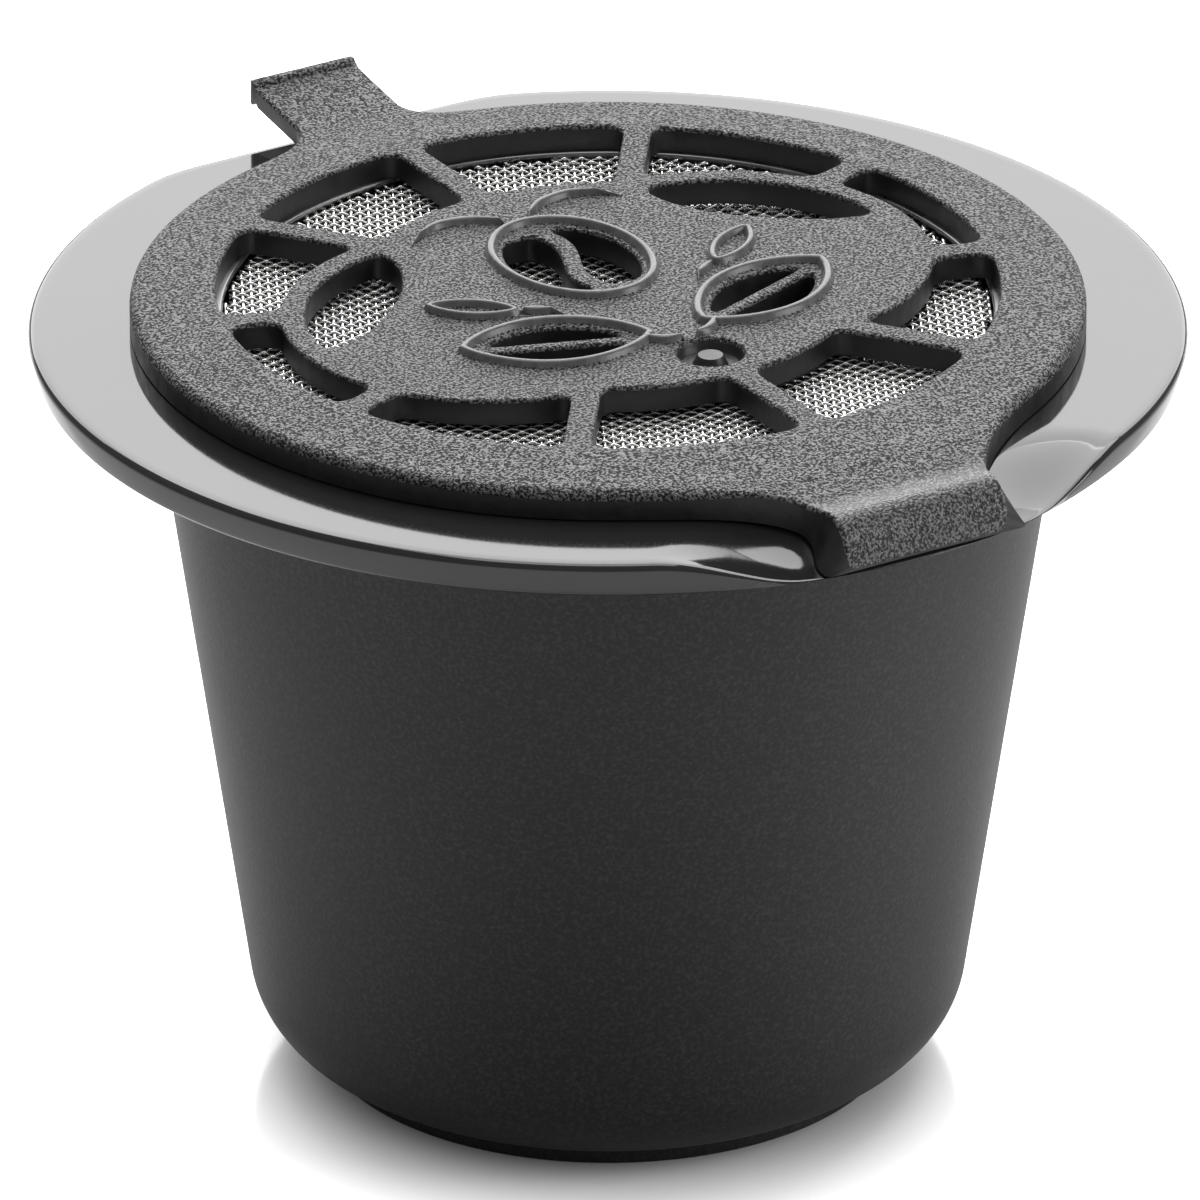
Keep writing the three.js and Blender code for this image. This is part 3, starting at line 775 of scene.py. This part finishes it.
def make_cup(materials):
    profile = cup_profile()
    r, phi, z, faces = turned(profile, CUP_COLUMNS, False)
    sine = np.maximum(np.sin(phi), 0.2)
    flat = (RIM_RADIUS - RIM_FLAT_DEPTH) / sine
    reach = soft_min(np.full(len(phi), RIM_RADIUS), flat, RIM_FLAT_SOFTNESS)
    beyond = np.clip(r - RIM_BLEND_RADIUS, 0, None)
    squeeze = (reach - RIM_BLEND_RADIUS) / (RIM_RADIUS - RIM_BLEND_RADIUS)
    r = np.where(z > RIM_BOTTOM - 0.01, np.minimum(r, RIM_BLEND_RADIUS) + beyond * squeeze, r)
    x, y = r * np.cos(phi), r * np.sin(phi)
    z = z - (z - RIM_BOTTOM) * recess_share(x, y, z, r)
    verts = np.column_stack([x, y, z])
    rows = len(profile)
    faces.append(tuple(range(CUP_COLUMNS))[::-1])
    faces.append(tuple((rows - 1) * CUP_COLUMNS + k for k in range(CUP_COLUMNS)))
    cup = mesh_object("cup_shell", verts, faces, 50)
    for material in materials:
        cup.data.materials.append(material)
    centres = np.zeros(len(cup.data.polygons) * 3)
    cup.data.polygons.foreach_get("center", centres)
    high = centres.reshape(-1, 3)[:, 2] > (RIM_BOTTOM - 0.02) * MM
    cup.data.polygons.foreach_set("material_index", high.astype(int))
    drill_water_holes(cup)
    return cup


def drill_water_holes(cup):
    verts, faces = [], []
    low, high = HOLE_CUT
    for radius, count in HOLE_ROWS:
        for i in range(count):
            angle = (i + 0.5) * 2 * math.pi / count
            centre = (radius * math.cos(angle), radius * math.sin(angle))
            ring = arc(centre, HOLE_RADIUS, 0, 2 * math.pi, 28)[:-1]
            start = len(verts)
            n = len(ring)
            verts += [(px, py, low) for px, py in ring] + [(px, py, high) for px, py in ring]
            faces.append(tuple(start + k for k in range(n))[::-1])
            faces.append(tuple(start + n + k for k in range(n)))
            for k in range(n):
                m = (k + 1) % n
                faces.append((start + k, start + m, start + n + m, start + n + k))
    cutter = mesh_object("hole_cutter", verts, faces)
    modifier = cup.modifiers.new("water_holes", "BOOLEAN")
    modifier.operation = "DIFFERENCE"
    modifier.solver = "EXACT"
    modifier.object = cutter
    bpy.context.view_layer.objects.active = cup
    bpy.ops.object.modifier_apply(modifier=modifier.name)
    bpy.data.objects.remove(cutter, do_unlink=True)


# Steel

def make_ring(name, inner, outer, bottom, top, material):
    rounding = min(RING_ROUND, (top - bottom) / 2.5)
    profile = []
    for centre_r, centre_z, start in (
        (outer - rounding, bottom + rounding, -90),
        (outer - rounding, top - rounding, 0),
        (inner + rounding, top - rounding, 90),
        (inner + rounding, bottom + rounding, 180),
    ):
        profile += arc((centre_r, centre_z), rounding, start * DEGREE, (start + 90) * DEGREE, 4)
    r, phi, z, faces = turned(np.array(profile), 192, True)
    verts = np.column_stack([r * np.cos(phi), r * np.sin(phi), z])
    ring = mesh_object(name, verts, faces, 60)
    ring.data.materials.append(material)
    return ring


def wire_faces(base, n, direction):
    """Sides and ends of one wire, whose points lie in WIRE_SIDES rows of n."""
    faces = []
    for k in range(WIRE_SIDES):
        m = (k + 1) % WIRE_SIDES
        for i in range(n - 1):
            faces.append((base + k * n + i, base + k * n + i + 1, base + m * n + i + 1, base + m * n + i))
    faces.append(tuple(base + k * n for k in range(WIRE_SIDES)))
    faces.append(tuple(base + k * n + n - 1 for k in range(WIRE_SIDES))[::-1])
    return faces if direction == 0 else [face[::-1] for face in faces]


def make_wires(name, radius, pitch, wire, height, dish, turn, direction, material):
    """All the wires of a plain weave that run one way, direction 0 along X and 1 along Y."""
    count = int(radius / pitch)
    verts, faces = [], []
    c, s = math.cos(turn), math.sin(turn)
    sign = 1 if direction == 0 else -1
    for j in range(-count, count + 1):
        offset = j * pitch
        reach = math.sqrt(max(radius**2 - offset**2, 0))
        half_steps = int(reach / (pitch / WIRE_STEPS))
        if half_steps < WIRE_STEPS:
            continue
        along = np.arange(-half_steps, half_steps + 1) * pitch / WIRE_STEPS
        wave = sign * wire * np.cos(math.pi * along / pitch + math.pi * j)
        bow = dish * (1 - (along**2 + offset**2) / radius**2)
        z = height + wave - bow
        faces += wire_faces(len(verts), len(along), direction)
        for k in range(WIRE_SIDES):
            angle = 2 * math.pi * (k + 0.5) / WIRE_SIDES
            side = wire * WIRE_FULLNESS * math.cos(angle)
            lift = wire * WIRE_FULLNESS * math.sin(angle)
            u, v = along, np.full(len(along), offset + side)
            if direction == 1:
                u, v = v, u
            verts += np.column_stack([u * c - v * s, u * s + v * c, z + lift]).tolist()
    wires = mesh_object(name, verts, faces, 180)
    wires.data.materials.append(material)
    return wires


# Materials

def new_material(name):
    material = bpy.data.materials.new(name)
    material.use_nodes = True
    tree = material.node_tree
    return material, tree, tree.nodes["Principled BSDF"]


def noise(tree, scale, detail=2.0, roughness=0.5):
    coords = tree.nodes.new("ShaderNodeTexCoord")
    node = tree.nodes.new("ShaderNodeTexNoise")
    node.inputs["Scale"].default_value = scale
    node.inputs["Detail"].default_value = detail
    node.inputs["Roughness"].default_value = roughness
    tree.links.new(coords.outputs["Object"], node.inputs["Vector"])
    return node


def ramp(tree, source, low, high, low_value, high_value):
    node = tree.nodes.new("ShaderNodeMapRange")
    node.inputs["From Min"].default_value = low
    node.inputs["From Max"].default_value = high
    node.inputs["To Min"].default_value = low_value
    node.inputs["To Max"].default_value = high_value
    tree.links.new(source, node.inputs["Value"])
    return node.outputs["Result"]


def colour_ramp(tree, source, low, high, dark, light):
    node = tree.nodes.new("ShaderNodeValToRGB")
    node.color_ramp.elements[0].position = low
    node.color_ramp.elements[1].position = high
    node.color_ramp.elements[0].color = (*dark, 1)
    node.color_ramp.elements[1].color = (*light, 1)
    tree.links.new(source, node.inputs["Fac"])
    return node.outputs["Color"]


def bump(tree, height, strength, distance, below=None):
    node = tree.nodes.new("ShaderNodeBump")
    node.inputs["Strength"].default_value = strength
    node.inputs["Distance"].default_value = distance
    tree.links.new(height, node.inputs["Height"])
    if below is not None:
        tree.links.new(below, node.inputs["Normal"])
    return node.outputs["Normal"]


def grained_plastic():
    material, tree, shader = new_material("lid_grain")
    fine = noise(tree, 10500, 1.0, 0.6)
    dark, light = (0.003, 0.003, 0.0032), (0.14, 0.14, 0.142)
    colour = colour_ramp(tree, fine.outputs["Fac"], GRAIN_LOW, GRAIN_HIGH, dark, light)
    tree.links.new(colour, shader.inputs["Base Color"])
    coords = tree.nodes.new("ShaderNodeTexCoord")
    parts = tree.nodes.new("ShaderNodeSeparateXYZ")
    tree.links.new(coords.outputs["Object"], parts.inputs[0])
    outer, inner = GRAIN_FOLD_OUTER * MM, GRAIN_FOLD_INNER * MM
    coarse = ramp(tree, parts.outputs["Y"], outer, inner, GRAIN_FOLD_SHARE, 1.0)
    rough = tree.nodes.new("ShaderNodeMath")
    rough.operation = "MULTIPLY"
    tree.links.new(ramp(tree, fine.outputs["Fac"], GRAIN_LOW, GRAIN_HIGH, 0.75, 0.34), rough.inputs[0])
    tree.links.new(coarse, rough.inputs[1])
    tree.links.new(rough.outputs[0], shader.inputs["Roughness"])
    normal = bump(tree, fine.outputs["Fac"], 1.0, 0.0001)
    tree.links.new(coarse, normal.node.inputs["Strength"])
    tree.links.new(normal, shader.inputs["Normal"])
    shader.inputs["Specular IOR Level"].default_value = 0.4
    return material


# The raised lines are lighter than the walls' plastic: partly the plastic's own tone, partly painted sheen
# for the highlight along the smooth lines.
def relief_plastic_painted_sheen():
    material, tree, shader = new_material("lid_lines_painted_sheen")
    soft = noise(tree, 2500, 1.0)
    colour = colour_ramp(tree, soft.outputs["Fac"], 0.3, 0.7, (0.08, 0.08, 0.081), (0.11, 0.11, 0.111))
    tree.links.new(colour, shader.inputs["Base Color"])
    rough = ramp(tree, soft.outputs["Fac"], 0.3, 0.7, 0.24, 0.3)
    tree.links.new(rough, shader.inputs["Roughness"])
    return material


# Painted shade: the lid's walls, underside and dimple get a far darker colour than the same plastic on top,
# for the shade they sit in.
def wall_plastic_painted_shade():
    material, tree, shader = new_material("lid_walls")
    soft = noise(tree, 1800, 3.0)
    colour = colour_ramp(tree, soft.outputs["Fac"], 0.3, 0.7, (0.01, 0.01, 0.0105), (0.017, 0.017, 0.0175))
    tree.links.new(colour, shader.inputs["Base Color"])
    rough = ramp(tree, soft.outputs["Fac"], 0.3, 0.7, 0.34, 0.46)
    tree.links.new(rough, shader.inputs["Roughness"])
    normal = bump(tree, soft.outputs["Fac"], 0.4, 0.00006)
    tree.links.new(normal, shader.inputs["Normal"])
    return material


def body_plastic():
    material, tree, shader = new_material("cup_matt")
    fine = noise(tree, 7000, 2.0, 0.6)
    broad = noise(tree, 60, 2.0)
    dark, light = (0.012, 0.012, 0.0124), (0.036, 0.036, 0.0365)
    colour = colour_ramp(tree, fine.outputs["Fac"], 0.45, 0.78, dark, light)
    tree.links.new(colour, shader.inputs["Base Color"])
    rough = ramp(tree, broad.outputs["Fac"], 0.3, 0.7, 0.5, 0.56)
    tree.links.new(rough, shader.inputs["Roughness"])
    normal = bump(tree, fine.outputs["Fac"], 0.45, 0.00002)
    tree.links.new(normal, shader.inputs["Normal"])
    shader.inputs["Specular IOR Level"].default_value = 0.35
    return material


def gloss_plastic():
    material, tree, shader = new_material("rim_gloss")
    soft = noise(tree, 120, 2.0)
    colour = colour_ramp(tree, soft.outputs["Fac"], 0.3, 0.7, (0.016, 0.016, 0.0165), (0.02, 0.02, 0.0205))
    tree.links.new(colour, shader.inputs["Base Color"])
    rough = ramp(tree, soft.outputs["Fac"], 0.3, 0.7, 0.06, 0.09)
    tree.links.new(rough, shader.inputs["Roughness"])
    normal = bump(tree, soft.outputs["Fac"], 0.05, 0.0002)
    tree.links.new(normal, shader.inputs["Normal"])
    shader.inputs["IOR"].default_value = 1.6
    return material


def steel(name, low, high, bright):
    material, tree, shader = new_material(name)
    soft = noise(tree, 1500, 2.0)
    dark = (bright * 0.86, bright * 0.855, bright * 0.845)
    light = (bright, bright * 0.995, bright * 0.985)
    colour = colour_ramp(tree, soft.outputs["Fac"], 0.3, 0.7, dark, light)
    tree.links.new(colour, shader.inputs["Base Color"])
    rough = ramp(tree, soft.outputs["Fac"], 0.3, 0.7, low, high)
    tree.links.new(rough, shader.inputs["Roughness"])
    shader.inputs["Metallic"].default_value = 1.0
    return material


# Stage

def floor_material():
    """White floor that keeps the contact shadow from the lamps, adds painted shade round the capsule where
    its glow fades out, and is pure white away from the capsule.
    """
    material, tree, shader = new_material("floor_white")
    shader.inputs["Base Color"].default_value = (0.9, 0.9, 0.9, 1)
    shader.inputs["Roughness"].default_value = 0.14
    shader.inputs["Specular IOR Level"].default_value = 0.6
    coords = tree.nodes.new("ShaderNodeTexCoord")
    length = tree.nodes.new("ShaderNodeVectorMath")
    length.operation = "LENGTH"
    tree.links.new(coords.outputs["Object"], length.inputs[0])
    # Painted shade: the glow for camera rays fades out towards the capsule, darkening the floor round its
    # foot on top of its real shadow.
    fade = tree.nodes.new("ShaderNodeMapRange")
    fade.interpolation_type = "SMOOTHSTEP"
    fade.inputs["From Min"].default_value = FLOOR_PAINTED_SHADE_START * MM
    fade.inputs["From Max"].default_value = FLOOR_PAINTED_SHADE_END * MM
    tree.links.new(length.outputs["Value"], fade.inputs["Value"])
    path = tree.nodes.new("ShaderNodeLightPath")
    seen = tree.nodes.new("ShaderNodeMath")
    seen.operation = "MAXIMUM"
    tree.links.new(path.outputs["Is Camera Ray"], seen.inputs[0])
    tree.links.new(path.outputs["Is Transmission Ray"], seen.inputs[1])
    weight = tree.nodes.new("ShaderNodeMath")
    weight.operation = "MULTIPLY"
    tree.links.new(seen.outputs[0], weight.inputs[0])
    tree.links.new(fade.outputs["Result"], weight.inputs[1])
    glow = tree.nodes.new("ShaderNodeEmission")
    tree.links.new(weight.outputs[0], glow.inputs["Strength"])
    both = tree.nodes.new("ShaderNodeAddShader")
    tree.links.new(shader.outputs["BSDF"], both.inputs[0])
    tree.links.new(glow.outputs["Emission"], both.inputs[1])
    tree.links.new(both.outputs["Shader"], tree.nodes["Material Output"].inputs["Surface"])
    return material


def make_floor():
    half = FLOOR_HALF
    floor = mesh_object("floor", [(-half, -half, 0), (half, -half, 0), (half, half, 0), (-half, half, 0)],
                        [(0, 1, 2, 3)])
    floor.data.materials.append(floor_material())


def make_world():
    world = bpy.data.worlds.new("studio")
    bpy.context.scene.world = world
    world.use_nodes = True
    tree = world.node_tree
    back = tree.nodes["Background"]
    back.inputs["Color"].default_value = (1, 1, 1, 1)
    back.inputs["Strength"].default_value = 0.25
    white = tree.nodes.new("ShaderNodeBackground")
    white.inputs["Strength"].default_value = 1.0
    path = tree.nodes.new("ShaderNodeLightPath")
    mix = tree.nodes.new("ShaderNodeMixShader")
    tree.links.new(path.outputs["Is Camera Ray"], mix.inputs["Fac"])
    tree.links.new(back.outputs["Background"], mix.inputs[1])
    tree.links.new(white.outputs["Background"], mix.inputs[2])
    tree.links.new(mix.outputs["Shader"], tree.nodes["World Output"].inputs["Surface"])


# Level directions as the camera sees them, ahead and to its right
LOOK = Vector((0.5225, 0.8526, 0))
RIGHT = Vector((0.8526, -0.5225, 0))


def softbox(name, side, ahead, up, width, height, radiance):
    """An area light aimed at the lid, placed by metres to the right, ahead and up from the capsule."""
    data = bpy.data.lights.new(name, "AREA")
    data.shape = "RECTANGLE"
    data.size = width
    data.size_y = height
    data.energy = radiance * math.pi * width * height
    light = bpy.data.objects.new(name, data)
    bpy.context.scene.collection.objects.link(light)
    place = RIGHT * side + LOOK * ahead + Vector((0, 0, up))
    light.location = place
    target = Vector((0, 0, 0.02))
    light.rotation_euler = (target - place).to_track_quat("-Z", "Y").to_euler()
    light.visible_camera = False
    return light


def make_camera():
    distance = 0.6
    elevation = 24.32 * DEGREE
    pitch = 25.172 * DEGREE
    yaw = -0.0268 * DEGREE
    turn = 31.5 * DEGREE
    data = bpy.data.cameras.new("camera")
    data.sensor_width = 36.0
    data.lens = 564.4
    data.clip_start = 0.05
    data.clip_end = 20
    camera = bpy.data.objects.new("camera", data)
    bpy.context.scene.collection.objects.link(camera)
    away = -distance * math.cos(elevation)
    camera.location = (away * math.sin(turn), away * math.cos(turn),
                       CAPSULE_HEIGHT * MM + distance * math.sin(elevation))
    heading = turn + yaw
    level = math.cos(pitch)
    look = Vector((math.sin(heading) * level, math.cos(heading) * level, -math.sin(pitch)))
    camera.rotation_euler = look.to_track_quat("-Z", "Y").to_euler()
    bpy.context.scene.camera = camera


# Putting it together

make_camera()
bpy.context.scene.view_settings.view_transform = "Standard"
cup = make_cup([body_plastic(), gloss_plastic()])
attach(cup, "cup")
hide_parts("capsule_body")

lid = make_lid([grained_plastic(), relief_plastic_painted_sheen(), wall_plastic_painted_shade()])
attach(lid, "lid")
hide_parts("lid")

# The wires' steel is lighter than real steel: partly the steel's own shine, partly painted light for the
# shade under the lid and the cup's floor.
wire_steel_painted_light = steel("steel_wire_painted_light", 0.14, 0.22, 0.84)
rolled = steel("steel_rolled", 0.25, 0.38, 0.22)
ring = make_ring("lid_ring", RING_INNER, RING_OUTER, RING_BOTTOM, PLATE_BOTTOM, rolled)
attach(ring, "lid")
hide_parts("lid_filter_rim")
base_ring = make_ring("base_ring", BASE_RING_INNER, BASE_MESH_RADIUS, BASE_RING_BOTTOM, BASE_RING_TOP, rolled)
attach(base_ring, "cup")
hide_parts("base_filter_rim")

for direction, word in ((0, "warp"), (1, "weft")):
    wires = make_wires("lid_mesh_" + word, MESH_RADIUS, WIRE_PITCH, WIRE_RADIUS, MESH_Z, MESH_DISH,
                       MESH_TURN, direction, wire_steel_painted_light)
    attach(wires, "lid")
    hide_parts("lid_filter_mesh")
    wires = make_wires("base_mesh_" + word, BASE_MESH_RADIUS, BASE_PITCH, BASE_WIRE_RADIUS, BASE_MESH_Z, 0,
                       0, direction, wire_steel_painted_light)
    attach(wires, "cup")
    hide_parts("base_filter_mesh")

make_floor()
make_world()
softbox("back_softbox", 0.0, 1.0, 0.5, 1.5, 0.75, 3.6)
softbox("right_softbox", 1.1, -0.2, 0.5, 0.5, 0.8, 4.4)
softbox("upper_softbox", 0.1, 0.75, 1.12, 1.3, 0.56, 4.8)
softbox("top_softbox", 0.0, 0.1, 1.4, 0.8, 0.8, 3.0)
